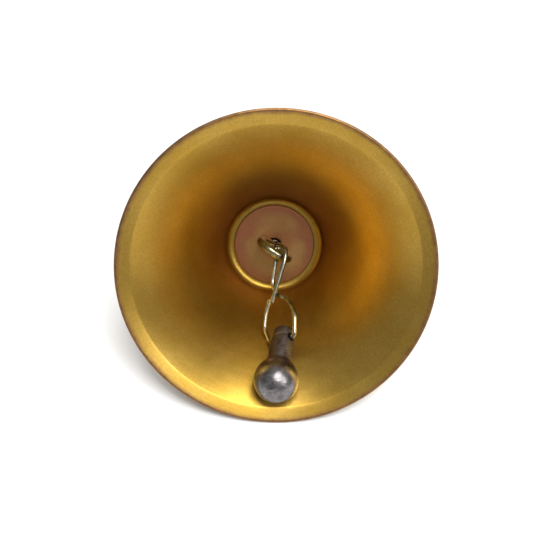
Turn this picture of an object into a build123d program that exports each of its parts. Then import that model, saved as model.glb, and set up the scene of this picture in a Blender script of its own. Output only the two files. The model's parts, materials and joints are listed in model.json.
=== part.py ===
from build123d import *
import os
from math import asin, atan2, cos, degrees, hypot, radians, sin

# A small brass stock bell lying on its side: a round flared shell, a copper washer inside its crown,
# a wire hanger with one eye inside and one outside, a wire S-hook, and a round-headed rivet that
# serves as the clapper. Millimetres.
#
# The pieces are drawn in the bell frame: the bell stands on its crown, mouth up, with the mouth plane
# at z = 0 and the axis on Z. The whole is then tipped over, mouth towards -Y, until the rim and the
# crown's edge both rest on the floor, and centred over the origin.

# --- bell shell -------------------------------------------------------------------------------------
SHEET = 0.9                # wall thickness
CROWN_DEPTH = 35.3         # from the mouth plane to the inside of the crown
CROWN_FLAT_R = 11.75       # flat inside the crown
CROWN_FILLET_R = 2.2       # inside radius between crown and neck
NECK_SLOPE = 21            # degrees between neck and axis, next to the crown fillet
SHOULDER = (20.4, -19.4)   # radius and height where the neck turns into the flare
LIP_START = (34.3, -1.6)   # where the flare turns out into the lip
LIP_END = (37.37, 0)       # inside edge of the rim
CROWN_HOLE_R = 1.5
RIM_EDGE_R = 0.44           # rounding of the rim's two corners

# --- crown washer -----------------------------------------------------------------------------------
WASHER_R = 11.6
WASHER_T = 0.8
WASHER_HOLE_R = 2.0
WASHER_CHAMFER = 0.15

# --- hanger -----------------------------------------------------------------------------------------
HANGER_WIRE_R = 1.2
STEM_R = 1.18               # the wire drawn down a little where it passes the crown
INNER_EYE_R = 4.4          # centre line of the eye inside the bell
INNER_EYE_DEPTH = 28.6     # depth of its centre
INNER_EYE_TURN = 33        # degrees about the axis, from level to the plane of this eye
OUTER_EYE_R = 6.2          # centre line of the eye outside the bell, which lies level
OUTER_EYE_GAP = 1.0        # between the crown and the outer eye's wire

# --- S-hook -----------------------------------------------------------------------------------------
HOOK_WIRE_R = 0.6
HOOK_SEAT_ANGLE = 28       # degrees round the inner eye, from its lowest point to the hook
# The hook lies in the plane through its seat on the eye and the clapper's cross hole. Each point of
# its route: distance across that plane, distance along it from the seat, lift out of it, and the
# radius of the bend there.
HOOK_ROUTE = [
    (-3.35, 12.4, -0.75, 0),
    (2.05, 1.3, -0.45, 6.0),
    (2.05, -1.7, 0.0, 1.85),
    (-2.1, -5.2, 0.0, 1.1),
    (-2.2, -0.2, 0.1, 8.0),
    (-4.3, 6.4, 0.45, 5.0),
    (-3.0, 9.9, 0.75, 1.6),
    (1.2, 12.3, 0.5, 4.0),
    (4.6, 16.6, 0.0, 5.0),
    (4.1, 22.95, 0.0, 1.2),
    (-5.3, 22.95, 0.0, 1.4),
    (-7.3, 18.6, 0.0, 5.0),
    (-6.5, 14.6, 0.0, 8.0),
    (-4.95, 11.0, 0.0, 0),
]

# --- clapper ----------------------------------------------------------------------------------------
HEAD_R = 5.6
HEAD_CENTRE = (0.1, 26.3, 1.3)     # across, towards the floor, depth
TAIL_END = (2.5, 18.4, 13.5)
SHANK_R = 3.25                     # where the shank leaves the head
TAIL_R = 2.9
TAIL_ROUND = 0.6
CROSS_HOLE_R = 1.1
CROSS_HOLE_FROM_TAIL = 2.7


def bell_point(across, down, depth):
    """A point by its distance across the bell, from the axis towards the floor, and into the bell."""
    return Vector(across, -down, -depth)


def around_axis(turn):
    """The level direction of the bell frame, turned about the axis towards the floor."""
    return bell_point(cos(radians(turn)), sin(radians(turn)), 0)


def shell_section():
    """Section of the shell, radius against -depth: its inner line from hole to lip, thickened outwards."""
    slope = radians(NECK_SLOPE)
    fillet_end = (
        CROWN_FLAT_R + CROWN_FILLET_R * cos(slope),
        -CROWN_DEPTH + CROWN_FILLET_R * (1 - sin(slope)),
    )
    crown = Line((CROWN_HOLE_R, -CROWN_DEPTH), (CROWN_FLAT_R, -CROWN_DEPTH))
    edge_arc = TangentArc(crown @ 1, fillet_end, tangent=crown % 1)
    neck = TangentArc(edge_arc @ 1, SHOULDER, tangent=edge_arc % 1)
    flare = TangentArc(neck @ 1, LIP_START, tangent=neck % 1)
    lip = TangentArc(flare @ 1, LIP_END, tangent=flare % 1)
    inner_line = Wire([crown, edge_arc, neck, flare, lip])
    outline = offset(inner_line, amount=SHEET, side=Side.RIGHT, closed=True)
    rim_middle = lip @ 1 + (lip % 1).rotate(Axis.Z, -90) * (SHEET / 2)
    section = make_face(outline)
    rim_corners = section.vertices().sort_by_distance(rim_middle)[:2]
    return fillet(rim_corners, RIM_EDGE_R), rim_middle


def resting_inclination(rim_middle):
    """Angle of the axis to the floor when the rim's edge and the crown's edge both touch it."""
    rim_round = SHEET / 2
    crown_round = CROWN_FILLET_R + SHEET
    across = rim_middle.X - CROWN_FLAT_R
    along = (CROWN_DEPTH - CROWN_FILLET_R) + rim_middle.Y
    return degrees(atan2(across, along) - asin((crown_round - rim_round) / hypot(across, along)))


def make_bell_shell(section):
    """The spun shell: the section turned about the axis."""
    return revolve(Plane.XZ * section, axis=Axis.Z)


def make_crown_washer():
    """The flat disc inside the crown, with a wider hole than the crown's."""
    middle = bell_point(0, 0, CROWN_DEPTH - WASHER_T / 2)
    disc = Pos(middle) * (Cylinder(WASHER_R, WASHER_T) - Cylinder(WASHER_HOLE_R, WASHER_T))
    circles = disc.edges().filter_by(GeomType.CIRCLE)
    return chamfer(circles.group_by(Axis.Z)[-1].sort_by(SortBy.RADIUS)[-1], WASHER_CHAMFER)


def eye(depth, radius, turn):
    """A closed ring of hanger wire, centred on the axis in a plane through it."""
    plane = Plane(bell_point(0, 0, depth), x_dir=around_axis(turn), z_dir=around_axis(turn + 90))
    return plane * Torus(radius, HANGER_WIRE_R)


def make_hanger():
    """Inner eye, stem through the washer and the crown, and outer eye, in one wire."""
    outer_start = CROWN_DEPTH + SHEET + OUTER_EYE_GAP + HANGER_WIRE_R
    stem_start = INNER_EYE_DEPTH + INNER_EYE_R
    stem = Pos(bell_point(0, 0, (stem_start + outer_start) / 2)) * Cylinder(
        STEM_R, outer_start - stem_start
    )
    inner = eye(INNER_EYE_DEPTH, INNER_EYE_R, INNER_EYE_TURN)
    outer = eye(outer_start + OUTER_EYE_R, OUTER_EYE_R, 0)
    return inner + stem + outer


def hook_seat():
    """The centre of the eye's wire where the S-hook hangs, and the wire's direction there."""
    angle = radians(HOOK_SEAT_ANGLE)
    sideways = around_axis(INNER_EYE_TURN)
    inward = bell_point(0, 0, 1)
    seat = inward * (INNER_EYE_DEPTH - INNER_EYE_R * cos(angle)) + sideways * (INNER_EYE_R * sin(angle))
    return seat, sideways * cos(angle) + inward * sin(angle)


def shank_direction():
    """From the clapper's tail towards its head."""
    return (bell_point(*HEAD_CENTRE) - bell_point(*TAIL_END)).normalized()


def cross_hole_centre():
    return bell_point(*TAIL_END) + shank_direction() * CROSS_HOLE_FROM_TAIL


def hook_plane():
    """The S-hook's plane: origin at its seat, Y along the hook, Z out of its plane."""
    seat, wire_direction = hook_seat()
    along = (cross_hole_centre() - seat).normalized()
    lift = (wire_direction - along * wire_direction.dot(along)).normalized()
    return Plane(seat, x_dir=along.cross(lift), z_dir=lift)


def make_s_hook():
    """Thin wire bent to a figure 8 in the hook's plane, its two ends beside the crossing."""
    plane = hook_plane()
    points = [plane.from_local_coords((across, along, lift)) for across, along, lift, _ in HOOK_ROUTE]
    radii = [radius for *_, radius in HOOK_ROUTE[1:-1]]
    path = FilletPolyline(*points, radius=radii)
    start = Plane(path @ 0, z_dir=path % 0)
    return sweep(start * Circle(HOOK_WIRE_R), path=path, transition=Transition.RIGHT)


def make_clapper():
    """The rivet: a round head, a slightly tapered shank and a cross hole near its end."""
    tail, head_centre = bell_point(*TAIL_END), bell_point(*HEAD_CENTRE)
    direction = shank_direction()
    length = (head_centre - tail).length
    shank_end = (SHANK_R, length - (HEAD_R**2 - SHANK_R**2) ** 0.5)
    tail_face = Line((0, 0), (TAIL_R, 0))
    side = Line(tail_face @ 1, shank_end)
    head = ThreePointArc(shank_end, (HEAD_R, length), (0, length + HEAD_R))
    middle = Line(head @ 1, (0, 0))
    section = make_face([tail_face, side, head, middle])
    section = fillet(section.vertices().sort_by_distance((TAIL_R, 0))[0], TAIL_ROUND)
    rivet = Plane(tail, z_dir=direction) * revolve(Plane.XZ * section, axis=Axis.Z)
    hook_across = hook_plane().x_dir
    hole_direction = (hook_across - direction * hook_across.dot(direction)).normalized()
    return rivet - Plane(cross_hole_centre(), z_dir=hole_direction) * Cylinder(CROSS_HOLE_R, 4 * SHANK_R)


section, rim_middle = shell_section()
pieces = {
    "bell_shell": make_bell_shell(section),
    "crown_washer": make_crown_washer(),
    "hanger": make_hanger(),
    "s_hook": make_s_hook(),
    "clapper": make_clapper(),
}

tip_over = Rot(90 - resting_inclination(rim_middle), 0, 0)
resting = Compound(children=[tip_over * piece for piece in pieces.values()]).bounding_box()
settle = Pos(-resting.center().X, -resting.center().Y, -resting.min.Z) * tip_over

os.makedirs("parts", exist_ok=True)
for name, piece in pieces.items():
    export_step(settle * piece, f"parts/{name}.step")

seat, wire_direction = hook_seat()
for name, point, direction in [
    ("hanger_swivel", Vector(0, 0, 0), Vector(0, 0, 1)),
    ("hook_swing", seat, wire_direction),
    ("clapper_swing", cross_hole_centre(), hook_plane().x_dir),
]:
    pivot = (settle * Pos(point)).position
    axis = (settle * Pos(point + direction)).position - pivot
    print(name, [round(v, 4) for v in pivot], [round(v, 6) for v in axis])
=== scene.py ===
import json
import math

import bmesh
import bpy
import numpy as np
from mathutils import Matrix, Vector, noise


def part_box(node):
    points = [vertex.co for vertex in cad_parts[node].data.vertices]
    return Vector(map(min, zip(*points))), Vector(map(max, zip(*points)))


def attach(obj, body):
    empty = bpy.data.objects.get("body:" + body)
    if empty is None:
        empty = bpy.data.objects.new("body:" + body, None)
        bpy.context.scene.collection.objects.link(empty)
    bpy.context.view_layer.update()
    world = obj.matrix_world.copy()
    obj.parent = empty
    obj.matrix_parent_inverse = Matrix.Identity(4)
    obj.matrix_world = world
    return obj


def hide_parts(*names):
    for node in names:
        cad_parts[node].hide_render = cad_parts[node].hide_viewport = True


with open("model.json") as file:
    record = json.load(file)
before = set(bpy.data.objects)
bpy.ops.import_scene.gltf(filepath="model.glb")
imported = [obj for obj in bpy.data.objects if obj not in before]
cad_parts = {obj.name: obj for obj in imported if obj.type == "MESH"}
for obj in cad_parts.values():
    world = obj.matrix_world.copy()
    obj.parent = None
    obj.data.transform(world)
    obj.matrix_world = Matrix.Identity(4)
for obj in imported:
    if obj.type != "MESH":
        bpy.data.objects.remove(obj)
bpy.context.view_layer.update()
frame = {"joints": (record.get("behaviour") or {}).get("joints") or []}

MM = 0.001

# ---------------------------------------------------------------- the bell's own directions
# The bell lies on its side. Its axis comes from the hanger's swivel, the S-hook's plane from the two
# other joints. "down" runs from the axis to the floor side, "depth" from the mouth into the bell.

JOINTS = {joint["name"]: joint for joint in frame["joints"]}


def joint_point(name):
    return Vector(JOINTS[name]["pos_m"])


def joint_axis(name):
    return Vector(JOINTS[name]["axis"]).normalized()


MOUTH = joint_point("hanger_swivel")
OUT = joint_axis("hanger_swivel")
ACROSS = Vector((1, 0, 0))
DEPTH = -OUT
DOWN = DEPTH.cross(ACROSS)
MOUTH_RADIUS = (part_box("bell_shell")[1].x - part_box("bell_shell")[0].x) / 2


def bell_point(across, down, depth):
    """A point in the bell's own directions, in millimetres from the middle of the mouth."""
    return MOUTH + (ACROSS * across + DOWN * down + DEPTH * depth) * MM


# ---------------------------------------------------------------- mesh helpers

def new_object(name, vertices, faces):
    mesh = bpy.data.meshes.new(name)
    mesh.from_pydata([tuple(v) for v in vertices], [], faces)
    mesh.validate()
    mesh.polygons.foreach_set("use_smooth", [True] * len(mesh.polygons))
    piece = bpy.data.objects.new(name, mesh)
    bpy.context.scene.collection.objects.link(piece)
    return piece


def place_uv(piece, coords):
    """Sets the UV of every face corner from coords, one (u, v) per vertex, without a torn seam in u."""
    layer = piece.data.uv_layers.new(name="profile")
    for polygon in piece.data.polygons:
        us = [coords[index][0] for index in polygon.vertices]
        wraps = max(us) - min(us) > 0.5
        for loop, index in zip(polygon.loop_indices, polygon.vertices):
            u, v = coords[index]
            layer.data[loop].uv = (u + 1 if wraps and u < 0.5 else u, v)


def finish_piece(piece, body, node, material):
    piece.data.materials.append(material)
    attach(piece, body)
    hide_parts(node)
    return piece


def arc_points(start, end, direction, count):
    """Points of the arc that leaves start in the given direction and ends at end, and its last direction."""
    start, end, direction = np.array(start), np.array(end), np.array(direction)
    chord = end - start
    half = math.atan2(direction[0] * chord[1] - direction[1] * chord[0], direction @ chord)
    points = []
    for i in range(1, count + 1):
        part = half * i / count
        reach = np.hypot(*chord) * math.sin(part) / math.sin(half)
        turn = math.atan2(direction[1], direction[0]) + part
        points.append(start + reach * np.array([math.cos(turn), math.sin(turn)]))
    last = math.atan2(direction[1], direction[0]) + 2 * half
    return points, (math.cos(last), math.sin(last))


def outline(start, direction, arcs):
    """A chain of tangent arcs, each given as (end point, number of steps)."""
    points = [np.array(start, float)]
    for end, count in arcs:
        more, direction = arc_points(points[-1], end, direction, count)
        points += more
    return points, direction


def revolve(name, rows, segments, to_point, closed):
    """A turned piece. rows are (radius, height, v); a radius of 0 at either end closes the piece there."""
    vertices, coords, faces = [], [], []
    starts = []
    for radius, height, v in rows:
        starts.append(len(vertices))
        count = segments if radius > 0 else 1
        for i in range(count):
            angle = 2 * math.pi * i / segments
            vertices.append(to_point(radius, height, angle))
            coords.append((i / segments, v))
    last = len(rows) if closed else len(rows) - 1
    for j in range(last):
        a, b = starts[j], starts[(j + 1) % len(rows)]
        a_pole, b_pole = rows[j][0] <= 0, rows[(j + 1) % len(rows)][0] <= 0
        for i in range(segments):
            k = (i + 1) % segments
            if a_pole:
                faces.append((a, b + k, b + i))
            elif b_pole:
                faces.append((a + i, a + k, b))
            else:
                faces.append((a + i, a + k, b + k, b + i))
    piece = new_object(name, vertices, faces)
    place_uv(piece, coords)
    return piece


def face_outwards(piece):
    shape = bmesh.new()
    shape.from_mesh(piece.data)
    bmesh.ops.recalc_face_normals(shape, faces=shape.faces)
    shape.to_mesh(piece.data)
    shape.free()


def rounded_route(points, radii, step):
    """Points along a polyline whose corners are rounded to the given radii, evenly spaced."""
    route = [points[0]]
    for before, corner, after, radius in zip(points, points[1:], points[2:], radii):
        to_before, to_after = (before - corner).normalized(), (after - corner).normalized()
        half = to_before.angle(to_after) / 2
        reach = radius / math.tan(half)
        first, last = corner + to_before * reach, corner + to_after * reach
        centre = corner + (to_before + to_after).normalized() * (radius / math.sin(half))
        turn_start, turn_end = (first - centre).normalized(), (last - centre).normalized()
        for i in range(9):
            route.append(centre + turn_start.slerp(turn_end, i / 8) * radius)
    route.append(points[-1])
    return even_steps(route, step)


def even_steps(route, step):
    lengths = [0.0]
    for a, b in zip(route, route[1:]):
        lengths.append(lengths[-1] + (b - a).length)
    count = max(2, round(lengths[-1] / step))
    marks = np.linspace(0, lengths[-1], count + 1)
    columns = [np.interp(marks, lengths, [p[axis] for p in route]) for axis in range(3)]
    return [Vector(p) for p in zip(*columns)]


def relaxed(route, passes):
    """The route with its changes of bend smoothed, ends kept."""
    for _ in range(passes):
        middle = [(a + 2 * b + c) / 4 for a, b, c in zip(route, route[1:], route[2:])]
        route = [route[0]] + middle + [route[-1]]
    return route


def wire(name, route, radius, sides, end_round):
    """A round wire along a route; its cut ends are bevelled by end_round times its radius."""
    tangents = []
    for i, _ in enumerate(route):
        before, after = route[max(i - 1, 0)], route[min(i + 1, len(route) - 1)]
        tangents.append((after - before).normalized())
    side = tangents[0].orthogonal().normalized()
    rings = []
    for i, (point, tangent) in enumerate(zip(route, tangents)):
        side = (side - tangent * side.dot(tangent)).normalized()
        rings.append((point, tangent, side.copy(), radius, i / (len(route) - 1)))
    bevel = radius * end_round
    (start, start_tangent, start_side, *_), (end, end_tangent, end_side, *_) = rings[0], rings[-1]
    rings = [
        (start, start_tangent, start_side, radius - bevel, 0.0),
        (start + start_tangent * bevel, start_tangent, start_side, radius, 0.0),
        *rings[2:-2],
        (end - end_tangent * bevel, end_tangent, end_side, radius, 1.0),
        (end, end_tangent, end_side, radius - bevel, 1.0),
    ]
    vertices, coords, faces = [], [], []
    for point, tangent, across, reach, part in rings:
        up = tangent.cross(across)
        for i in range(sides):
            angle = 2 * math.pi * i / sides
            vertices.append(point + (across * math.cos(angle) + up * math.sin(angle)) * reach)
            coords.append((i / sides, part))
    for j in range(len(rings) - 1):
        for i in range(sides):
            k = (i + 1) % sides
            faces.append((j * sides + i, j * sides + k, (j + 1) * sides + k, (j + 1) * sides + i))
    for ring, point, part in ((0, start, 0.0), (len(rings) - 1, end, 1.0)):
        hub = len(vertices)
        vertices.append(point)
        coords.append((0.5, part))
        for i in range(sides):
            faces.append((hub, ring * sides + i, ring * sides + (i + 1) % sides))
    piece = new_object(name, vertices, faces)
    place_uv(piece, coords)
    face_outwards(piece)
    return piece


# ---------------------------------------------------------------- materials

class Shader:
    """A material with a few short calls for its nodes."""

    def __init__(self, name, **settings):
        self.material = bpy.data.materials.new(name)
        self.material.use_nodes = True
        self.tree = self.material.node_tree
        self.surface = next(n for n in self.tree.nodes if n.type == "BSDF_PRINCIPLED")
        for key, value in settings.items():
            self.surface.inputs[key.replace("_", " ")].default_value = value
        self.place = self.tree.nodes.new("ShaderNodeTexCoord").outputs["Object"]
        uv_map = self.tree.nodes.new("ShaderNodeUVMap")
        uv_map.uv_map = "profile"
        self.uv = uv_map.outputs["UV"]

    def feed(self, node, key, value):
        if isinstance(value, bpy.types.NodeSocket):
            self.tree.links.new(value, node.inputs[key])
        elif value is not None:
            node.inputs[key].default_value = value

    def noise(self, scale, detail, roughness, where=None):
        node = self.tree.nodes.new("ShaderNodeTexNoise")
        self.feed(node, "Vector", where or self.place)
        for key, value in (("Scale", scale), ("Detail", detail), ("Roughness", roughness)):
            self.feed(node, key, value)
        return node.outputs["Fac"]

    def stretched(self, scale, where=None, turn=(0, 0, 0)):
        node = self.tree.nodes.new("ShaderNodeMapping")
        self.feed(node, "Vector", where or self.place)
        self.feed(node, "Rotation", turn)
        self.feed(node, "Scale", scale)
        return node.outputs["Vector"]

    def ramp(self, factor, *stops):
        node = self.tree.nodes.new("ShaderNodeValToRGB")
        self.feed(node, "Fac", factor)
        elements = node.color_ramp.elements
        while len(elements) < len(stops):
            elements.new(0.5)
        for element, (place, value) in zip(elements, stops):
            element.position = place
            element.color = (value, value, value, 1) if isinstance(value, (int, float)) else (*value, 1)
        return node.outputs["Color"]

    def mix(self, factor, a, b):
        node = self.tree.nodes.new("ShaderNodeMix")
        node.data_type = "RGBA"
        self.feed(node, 0, factor)
        for key, value in ((6, a), (7, b)):
            if isinstance(value, tuple):
                value = (*value, 1)
            self.feed(node, key, value)
        return node.outputs[2]

    def math(self, operation, a, b=None):
        node = self.tree.nodes.new("ShaderNodeMath")
        node.operation = operation
        self.feed(node, 0, a)
        self.feed(node, 1, b)
        return node.outputs[0]

    def axis(self, vector, index):
        node = self.tree.nodes.new("ShaderNodeSeparateXYZ")
        self.feed(node, "Vector", vector)
        return node.outputs[index]

    def bump(self, height, distance, strength, after=None):
        node = self.tree.nodes.new("ShaderNodeBump")
        self.feed(node, "Height", height)
        self.feed(node, "Distance", distance)
        self.feed(node, "Strength", strength)
        if after is not None:
            self.feed(node, "Normal", after)
        return node.outputs["Normal"]

    def finish(self, colour, roughness, normal):
        for key, value in (("Base Color", colour), ("Roughness", roughness), ("Normal", normal)):
            if value is not None:
                self.feed(self.surface, key, value)
        return self.material


def brass():
    """Satin spun brass with fine grain and faint turning lines, with a painted dark reflection in brown on
    the rim and painted shade in black at the hole.
    """
    s = Shader("satin_brass", Metallic=1.0)
    along = s.axis(s.uv, 1)
    cloud = s.noise(55, 4, 0.6)
    gold = s.mix(s.ramp(cloud, (0.36, 0.0), (0.66, 1.0)), (0.46, 0.275, 0.040), (0.55, 0.350, 0.075))
    fine_grain = s.ramp(s.noise(2300, 3, 0.7), (0.40, 0.0), (0.64, 1.0))
    gold = s.mix(s.math("MULTIPLY", fine_grain, 0.40), gold, (0.30, 0.17, 0.03))
    blotch = s.ramp(s.noise(160, 3, 0.6), (0.58, 0.0), (0.75, 1.0))
    gold = s.mix(s.math("MULTIPLY", blotch, 0.08), gold, (0.44, 0.25, 0.03))
    # Painted reflection: a brown band with darker spots along the rim, standing in for the dark surroundings
    # mirrored in the lip.
    wander = s.math("MULTIPLY", s.math("SUBTRACT", s.noise(260, 3, 0.6), 0.5), 0.012)
    edge_line = s.math("ADD", along, wander)
    edge = s.ramp(
        edge_line, (RIM_V - 0.014, 0.0), (RIM_V - 0.006, 1.0), (RIM_V + 0.012, 1.0), (RIM_V + 0.02, 0.0)
    )
    spots = s.ramp(s.noise(700, 3, 0.6), (0.35, 0.0), (0.70, 1.0))
    rim_reflection_brown = s.mix(spots, (0.33, 0.165, 0.08), (0.17, 0.085, 0.045))
    colour = s.mix(s.math("MULTIPLY", edge, 0.85), gold, rim_reflection_brown)
    # Painted shade: the sheet round the crown hole goes near black, standing in for the shadow in and behind
    # the hole.
    painted_hole_shade = s.ramp(along, (0.016, 1.0), (0.026, 0.0))
    colour = s.mix(painted_hole_shade, colour, (0.010, 0.008, 0.006))
    lines = s.noise(1.0, 2, 0.7, where=s.stretched((1.5, 900, 1), where=s.uv))
    grain = s.noise(5200, 2, 0.6)
    roughness = s.math("ADD", 0.30, s.math("MULTIPLY", s.noise(420, 3, 0.6), 0.10))
    roughness = s.math("ADD", roughness, s.math("MULTIPLY", edge, 0.1))
    normal = s.bump(s.noise(42, 2, 0.5), 0.0005, 0.3)
    rings = s.noise(1.0, 2, 0.5, where=s.stretched((0.4, 70, 1), where=s.uv))
    normal = s.bump(rings, 0.0003, 0.10, after=normal)
    normal = s.bump(lines, 0.00003, 0.35, after=normal)
    normal = s.bump(grain, 0.00002, 0.8, after=normal)
    return s.finish(colour, roughness, normal)


def painted_reflection_disc():
    """The washer in a dull pinkish tone, a painted reflection of the dark surroundings, with a painted brassy
    sheen in patches round the eye.
    """
    s = Shader("pinkish_painted_reflection_disc", Metallic=1.0)
    # Painted reflection: the pinkish base tones stand in for the dark surroundings mirrored in the flat disc.
    patches = s.ramp(s.noise(110, 3, 0.5), (0.30, 0.0), (0.80, 1.0))
    colour = s.mix(patches, (0.44, 0.165, 0.088), (0.43, 0.215, 0.080))
    along = s.axis(s.uv, 1)
    # Painted reflection: a soft brassy sheen in patches round the eye, standing in for the surroundings
    # mirrored in the disc.
    sheen_ring = s.ramp(along, (0.20, 0.0), (0.30, 1.0), (0.42, 1.0), (0.54, 0.0))
    painted_sheen = s.math("MULTIPLY", sheen_ring, s.ramp(s.noise(95, 2, 0.5), (0.44, 0.0), (0.62, 1.0)))
    colour = s.mix(s.math("MULTIPLY", painted_sheen, 0.45), colour, (0.60, 0.40, 0.13))
    dirt = s.ramp(s.noise(1500, 3, 0.6), (0.5, 0.0), (0.8, 1.0))
    colour = s.mix(s.math("MULTIPLY", dirt, 0.25), colour, (0.16, 0.09, 0.05))
    roughness = s.math("ADD", 0.36, s.math("MULTIPLY", s.noise(500, 2, 0.5), 0.18))
    normal = s.bump(s.noise(300, 3, 0.6), 0.00012, 0.5)
    normal = s.bump(s.noise(5200, 2, 0.6), 0.00002, 0.4, after=normal)
    return s.finish(colour, roughness, normal)


def zinc_wire():
    """Worn plated wire of the hanger: pale grey-gold with darker patches at random."""
    s = Shader("worn_plated_wire", Metallic=1.0)
    wear = s.ramp(s.noise(300, 3, 0.55), (0.30, 0.0), (0.70, 1.0))
    colour = s.mix(wear, (0.20, 0.175, 0.09), (0.42, 0.39, 0.26))
    roughness = s.math("ADD", 0.16, s.math("MULTIPLY", s.noise(900, 2, 0.5), 0.18))
    normal = s.bump(s.noise(500, 2, 0.5), 0.00004, 0.3)
    return s.finish(colour, roughness, normal)


def bright_wire():
    """Drawn silvery wire with fine lines along it."""
    s = Shader("bright_drawn_wire", Metallic=1.0)
    tarnish = s.ramp(s.noise(600, 3, 0.6), (0.4, 0.0), (0.65, 1.0))
    colour = s.mix(tarnish, (0.25, 0.24, 0.195), (0.40, 0.40, 0.36))
    drawn = s.noise(1.0, 2, 0.7, where=s.stretched((60, 3, 1), where=s.uv))
    roughness = s.math("ADD", 0.17, s.math("MULTIPLY", drawn, 0.16))
    normal = s.bump(drawn, 0.00003, 0.5)
    return s.finish(colour, roughness, normal)


def forged_steel():
    """Dark rivet steel: worn brighter on the head, brown-grey skin on the shank, pits and scratches."""
    s = Shader("dark_rivet_steel", Metallic=1.0)
    along = s.axis(s.uv, 1)
    skin = s.ramp(s.noise(520, 4, 0.65), (0.38, 0.0), (0.64, 1.0))
    dark = s.mix(skin, (0.10, 0.082, 0.078), (0.20, 0.175, 0.165))
    painted_sheen = s.mix(skin, (0.15, 0.138, 0.138), (0.27, 0.255, 0.26))
    head = s.ramp(along, (0.42, 0.0), (0.66, 1.0))
    colour = s.mix(head, dark, painted_sheen)
    pits = s.ramp(s.noise(1500, 3, 0.6), (0.60, 0.0), (0.70, 1.0))
    colour = s.mix(s.math("MULTIPLY", pits, 0.6), colour, (0.05, 0.04, 0.04))
    scratch_place = s.stretched((260, 2600, 260), turn=(0.5, 0.3, 0.9))
    scratches = s.ramp(s.noise(1.0, 2, 0.5, where=scratch_place), (0.63, 0.0), (0.68, 1.0))
    colour = s.mix(s.math("MULTIPLY", scratches, 0.35), colour, (0.62, 0.60, 0.58))
    roughness = s.math("SUBTRACT", 0.40, s.math("MULTIPLY", head, 0.14))
    roughness = s.math("ADD", roughness, s.math("MULTIPLY", s.noise(700, 3, 0.6), 0.14))
    normal = s.bump(s.noise(330, 3, 0.6), 0.00016, 0.55)
    normal = s.bump(s.noise(2600, 3, 0.6), 0.00003, 0.6, after=normal)
    return s.finish(colour, roughness, normal)


def table_paper():
    """The pale floor, which isn't part of the object."""
    s = Shader("pale_table", Roughness=0.55)
    colour = s.mix(s.noise(6, 3, 0.5), (0.90, 0.90, 0.90), (0.93, 0.93, 0.925))
    return s.finish(colour, None, s.bump(s.noise(900, 2, 0.5), 0.00005, 0.2))


# ---------------------------------------------------------------- bell shell

# Millimetres. Points of the inner line are (radius, height), with the mouth plane at height 0.
SHEET = 0.9
CROWN_DEPTH = 35.3
CROWN_FLAT_R = 11.75
CROWN_FILLET_R = 2.2
NECK_SLOPE = math.radians(21)  # between neck and axis, next to the crown fillet
CROWN_HOLE_R = 1.28            # narrower than the solid model's 1.5, so that little light shows past the wire
HOLE_EDGE = 0.12               # break of the hole's inner edge
SHOULDER = (20.4, -19.4)       # where the neck turns into the flare
FLARE_END = (33.9, -2.0)
LIP_CREASE = (34.35, -1.68)    # the short bend from the flare's end to here makes the lip's crease
RIM_INSIDE = (36.85, -0.4)     # about 0.5 mm inside the solid model's rim, which is at (37.37, 0)
SHELL_SEGMENTS = 288


def shell_rows():
    """The shell's closed section, radius and depth, and how far along it each point lies."""
    fillet_end = (
        CROWN_FLAT_R + CROWN_FILLET_R * math.cos(NECK_SLOPE),
        -CROWN_DEPTH + CROWN_FILLET_R * (1 - math.sin(NECK_SLOPE)),
    )
    flat_radii = np.linspace(CROWN_HOLE_R + HOLE_EDGE, CROWN_FLAT_R, 14)
    flat = [np.array([r, -CROWN_DEPTH]) for r in flat_radii]
    curve, last = outline(
        flat[-1], (1, 0), [(fillet_end, 8), (SHOULDER, 20), (FLARE_END, 30)]
    )
    lip, _ = outline(curve[-1], last, [(LIP_CREASE, 6), (RIM_INSIDE, 8)])
    inner = flat[:-1] + curve + lip[1:]
    normals = []
    for i, _ in enumerate(inner):
        a, b = inner[max(i - 1, 0)], inner[min(i + 1, len(inner) - 1)]
        along = (b - a) / np.hypot(*(b - a))
        normals.append(np.array([along[1], -along[0]]))
    rim = inner[-1] + normals[-1] * SHEET / 2
    start = math.atan2(*(inner[-1] - rim)[::-1])
    turns = start - np.linspace(0.35, 2.8, 7)
    edge = [rim + SHEET / 2 * np.array([math.cos(a), math.sin(a)]) for a in turns]
    outer = [p + n * SHEET for p, n in zip(inner, normals)][::-1]
    hole = [np.array([CROWN_HOLE_R, -CROWN_DEPTH - SHEET * part]) for part in (0.83, 0.5, 0.17)]
    ring = inner + edge + outer + hole
    lengths = np.cumsum([0] + [np.hypot(*(b - a)) for a, b in zip(ring, ring[1:])])
    rim_v = lengths[len(inner) + 3] / lengths[-1]
    return [(p[0], -p[1], v / lengths[-1]) for p, v in zip(ring, lengths)], rim_v


SHELL_ROWS, RIM_V = shell_rows()


def shell_point(radius, depth, angle):
    """A point of the wall, with slight unevenness that grows from the neck, radius 13, to the rim."""
    openness = max(0.0, min(1.0, (radius - 13) / 24))
    sway = 0.5 + 0.25 * math.sin(2 * angle + 0.7)
    sway += 0.15 * math.sin(3 * angle + 2.1) + 0.1 * math.sin(5 * angle)
    radius = radius - 0.10 * openness * sway
    depth = depth + 0.16 * openness ** 3 * sway
    return bell_point(radius * math.cos(angle), -radius * math.sin(angle), depth)


def build_shell():
    piece = revolve("bell_wall", SHELL_ROWS, SHELL_SEGMENTS, shell_point, closed=True)
    face_outwards(piece)
    return finish_piece(piece, "bell", "bell_shell", brass())


# ---------------------------------------------------------------- crown washer

WASHER_R = 11.6
WASHER_T = 0.8
WASHER_HOLE_R = 2.0


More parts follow.
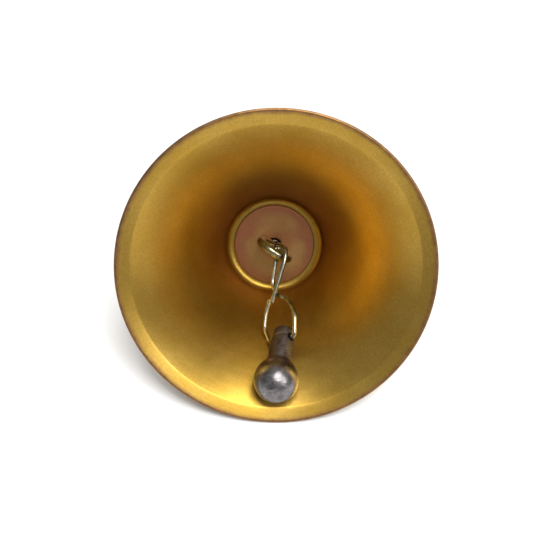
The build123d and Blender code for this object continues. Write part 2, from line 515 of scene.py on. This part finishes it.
def build_washer():
    """The flat disc inside the crown, slightly bent, with both of its face's edges broken."""
    face = CROWN_DEPTH - WASHER_T
    rows = [
        (WASHER_HOLE_R, CROWN_DEPTH, 0.0),
        (WASHER_HOLE_R, face + 0.12, 0.1),
        (WASHER_HOLE_R + 0.12, face, 0.12),
    ]
    for r in np.linspace(WASHER_HOLE_R + 0.6, WASHER_R - 0.4, 12):
        rows.append((r, face, 0.12 + 0.6 * (r - WASHER_HOLE_R) / WASHER_R))
    rows += [
        (WASHER_R - 0.15, face + 0.03, 0.8),
        (WASHER_R, face + 0.18, 0.83),
        (WASHER_R, CROWN_DEPTH - 0.02, 0.9),
    ]

    def to_point(r, depth, angle):
        if depth < CROWN_DEPTH - 0.3:
            depth += 0.05 * math.sin(2 * angle + 1.0) * (r / WASHER_R) ** 2 + 0.05
        return bell_point(r * math.cos(angle), -r * math.sin(angle), depth)

    piece = revolve("crown_disc", rows, 160, to_point, closed=True)
    face_outwards(piece)
    return finish_piece(piece, "bell", "crown_washer", painted_reflection_disc())


# ---------------------------------------------------------------- hanger

HANGER_WIRE_R = 1.194
INNER_EYE = 4.4                # radii of the eyes' centre lines
OUTER_EYE = 6.2
INNER_EYE_DEPTH = 28.6         # depth of the inner eye's centre
INNER_EYE_TURN = math.radians(33)
OUTER_EYE_START = 38.4         # least depth of the outer eye's centre line
EYE_END = math.radians(3)      # the wire's cut end stops this far short of the stem
INNER_LEAD = math.radians(25)  # where each eye leaves its circle to bend into the stem
OUTER_LEAD = math.radians(18)
BEND_STEPS = 12


def lead_out(radius, lead):
    """Along the stem: from the eye's centre to where its circle ends, and on to where the bend ends."""
    sideways = radius * math.sin(lead)
    return radius * math.cos(lead), sideways / (1 - math.sin(lead)) * math.cos(lead)


def eye_outline(radius, lead, steps):
    """An eye from its cut end round to the stem: across the axis, and along it from the eye's centre."""
    start = (radius * math.sin(EYE_END), radius * math.cos(EYE_END))
    circle_reach, bend_reach = lead_out(radius, lead)
    points, _ = outline(start, (math.cos(EYE_END), -math.sin(EYE_END)), [
        ((0, -radius), steps),
        ((-radius * math.sin(lead), circle_reach), steps),
        ((0, circle_reach + bend_reach), BEND_STEPS),
    ])
    return points


def build_hanger():
    """One wire: an eye inside the bell, the stem through the crown, an eye outside."""
    side = (math.cos(INNER_EYE_TURN), math.sin(INNER_EYE_TURN))
    inner = [
        bell_point(across * side[0], across * side[1], INNER_EYE_DEPTH + along)
        for across, along in eye_outline(INNER_EYE, INNER_LEAD, 40)
    ]
    outer_centre = OUTER_EYE_START + OUTER_EYE
    outer = [
        bell_point(-across, 0, outer_centre - along)
        for across, along in eye_outline(OUTER_EYE, OUTER_LEAD, 56)
    ]
    route = even_steps(inner + outer[::-1], 0.25 * MM)
    piece = wire("hanger_wire_eyes", relaxed(route, 3), HANGER_WIRE_R * MM, sides=32, end_round=0.3)
    return finish_piece(piece, "hanger", "hanger", zinc_wire())


# ---------------------------------------------------------------- S-hook

HOOK_WIRE_R = 0.6
# Each point: across the hook's plane, along it from its seat, lift out of it, and the bend's radius.
HOOK_ROUTE = [
    (-3.35, 12.4, -0.75, 0),
    (2.05, 1.3, -0.45, 6.0),
    (2.05, -1.7, 0.0, 1.85),
    (-2.1, -5.2, 0.0, 1.1),
    (-2.2, -0.2, 0.1, 8.0),
    (-4.3, 6.4, 0.45, 5.0),
    (-3.0, 9.9, 0.75, 1.6),
    (1.2, 12.3, 0.5, 4.0),
    (4.6, 16.6, 0.0, 5.0),
    (4.1, 22.95, 0.0, 1.2),
    (-5.3, 22.95, 0.0, 1.4),
    (-7.3, 18.6, 0.0, 5.0),
    (-6.5, 14.6, 0.0, 8.0),
    (-4.95, 11.0, 0.0, 0),
]


def build_hook():
    """The S-hook, in the plane through its seat on the eye and the clapper's cross hole."""
    seat = joint_point("hook_swing")
    along = (joint_point("clapper_swing") - seat).normalized()
    across = joint_axis("clapper_swing")
    lift = across.cross(along)
    points = [seat + (across * a + along * b + lift * c) * MM for a, b, c, _ in HOOK_ROUTE]
    route = rounded_route(points, [radius * MM for *_, radius in HOOK_ROUTE[1:-1]], 0.12 * MM)
    piece = wire("s_hook_wire", relaxed(route, 12), HOOK_WIRE_R * MM, sides=20, end_round=0.25)
    return finish_piece(piece, "hook", "s_hook", bright_wire())


# ---------------------------------------------------------------- clapper

HEAD_R = 5.6
HEAD_CENTRE = (0.1, 26.3, 1.3)
TAIL_END = (2.5, 18.4, 13.5)
SHANK_R = 3.25                 # where the shank leaves the head
TAIL_R = 2.9
TAIL_ROUND = 0.6
SURFACE_LOSS = 0.08            # how far the worn surface lies inside the nominal one, on average
BORE_R = 1.1
BORE_MOUTH_R = 1.5             # the cross hole's worn mouths


def build_clapper():
    """A forged round-headed rivet with a drilled cross hole, worn smooth at its edges."""
    head, tail = bell_point(*HEAD_CENTRE), bell_point(*TAIL_END)
    axis = (head - tail).normalized()
    length = (head - tail).length / MM
    side = (ACROSS - axis * ACROSS.dot(axis)).normalized()
    up = axis.cross(side)
    neck = length - math.sqrt(HEAD_R ** 2 - SHANK_R ** 2)
    rows = [(0, 0, 0.0)] + [(r, 0.0, 0.01 * i) for i, r in enumerate((0.8, 1.6, 2.2), 1)]
    for a in np.linspace(0.15, 1.57, 6):
        rows.append((TAIL_R - TAIL_ROUND * (1 - math.sin(a)), TAIL_ROUND * (1 - math.cos(a)), 0.05))
    for z in np.linspace(1.0, neck - 0.5, 34):
        rows.append((TAIL_R + (SHANK_R - TAIL_R) * z / neck, z, 0.06 + 0.4 * z / neck))
    blend = math.atan2(SHANK_R, length - neck)
    for a in np.linspace(blend + 0.04, math.pi - 0.08, 46):
        part = a / math.pi
        rows.append((HEAD_R * math.sin(a), length - HEAD_R * math.cos(a), 0.5 + 0.5 * part))
    rows.append((0, length + HEAD_R, 1.0))

    def to_point(r, z, angle):
        spot = tail + (axis * z + side * (r * math.cos(angle)) + up * (r * math.sin(angle))) * MM
        if r == 0:
            return spot
        rough = noise.noise(spot * 160) * 0.05 + noise.noise(spot * 520) * 0.025
        shrink = SURFACE_LOSS + rough
        out = (side * math.cos(angle) + up * math.sin(angle)) * min(1.0, r / 2)
        return spot - out * (max(0.0, shrink) * MM)

    piece = revolve("rivet_clapper", rows, 96, to_point, closed=False)
    face_outwards(piece)
    bore_across = joint_axis("clapper_swing")
    bore_axis = (bore_across - axis * bore_across.dot(axis)).normalized()
    half = [(BORE_R, 2.65, 0), (BORE_MOUTH_R, 3.2, 0), (BORE_MOUTH_R, 6, 0), (0, 6, 0)]
    bore_rows = [(r, -z, v) for r, z, v in half[::-1]] + half
    bore_up = bore_axis.cross(axis)
    centre = joint_point("clapper_swing")

    def bore_point(r, z, angle):
        return centre + (bore_axis * z + axis * (r * math.cos(angle)) + bore_up * (r * math.sin(angle))) * MM

    bore = revolve("bore_tool", bore_rows, 48, bore_point, closed=False)
    face_outwards(bore)
    cut = piece.modifiers.new("bore", "BOOLEAN")
    cut.operation = "DIFFERENCE"
    cut.solver = "EXACT"
    cut.object = bore
    bpy.context.view_layer.update()
    done = bpy.data.meshes.new_from_object(piece.evaluated_get(bpy.context.evaluated_depsgraph_get()))
    piece.modifiers.clear()
    piece.data = done
    bpy.data.objects.remove(bore)
    return finish_piece(piece, "clapper", "clapper", forged_steel())


# ---------------------------------------------------------------- stage, light and camera

FLOOR_HALF = 6.0               # metres


def build_stage():
    corners = [(-1, -1), (1, -1), (1, 1), (-1, 1)]
    floor = new_object("table_top", [(x * FLOOR_HALF, y * FLOOR_HALF, 0) for x, y in corners], [(0, 1, 2, 3)])
    floor.data.materials.append(table_paper())


def area_light(name, place, target, size, power):
    data = bpy.data.lights.new(name, "AREA")
    data.shape = "RECTANGLE"
    data.size, data.size_y = size
    data.energy = power
    light = bpy.data.objects.new(name, data)
    light.location = place
    light.rotation_euler = (Vector(target) - Vector(place)).to_track_quat("-Z", "Y").to_euler()
    bpy.context.scene.collection.objects.link(light)


def build_lights():
    middle = bell_point(0, 0, 15)
    area_light("softbox_above", (0.12, -0.15, 0.75), middle, (0.3, 0.3), 4.5)
    area_light("softbox_right", (0.45, -0.35, 0.55), middle, (0.3, 0.3), 1.8)
    area_light("softbox_back", (0.1, 0.65, 0.45), middle, (0.6, 0.3), 3.0)
    world = bpy.data.worlds.new("studio")
    world.use_nodes = True
    background = world.node_tree.nodes["Background"]
    background.inputs["Color"].default_value = (1, 1, 1, 1)
    background.inputs["Strength"].default_value = 0.33
    bpy.context.scene.world = world


CAMERA_PITCH = math.radians(14.5)
CAMERA_PLACE = (-0.0602, -0.9147, -3.275)  # across, down and depth from the mouth, in mouth radii


def build_camera():
    """Looks into the mouth from 14.5 degrees above the bell's axis, about 3.4 mouth radii away."""
    forward = DEPTH * math.cos(CAMERA_PITCH) + DOWN * math.sin(CAMERA_PITCH)
    up = -(DOWN * math.cos(CAMERA_PITCH) - DEPTH * math.sin(CAMERA_PITCH))
    across, down, depth = CAMERA_PLACE
    place = MOUTH + (ACROSS * across + DOWN * down + DEPTH * depth) * MOUTH_RADIUS
    data = bpy.data.cameras.new("photo_camera")
    data.lens = 37.55
    data.sensor_width = 36.0
    data.clip_start = 0.005
    data.clip_end = 50
    camera = bpy.data.objects.new("photo_camera", data)
    turn = Matrix((ACROSS, up, -forward)).transposed().to_4x4()
    camera.matrix_world = Matrix.Translation(place) @ turn
    bpy.context.scene.collection.objects.link(camera)
    bpy.context.scene.camera = camera


bpy.context.scene.view_settings.view_transform = "Standard"
build_camera()
build_shell()
build_washer()
build_hanger()
build_hook()
build_clapper()
build_stage()
build_lights()
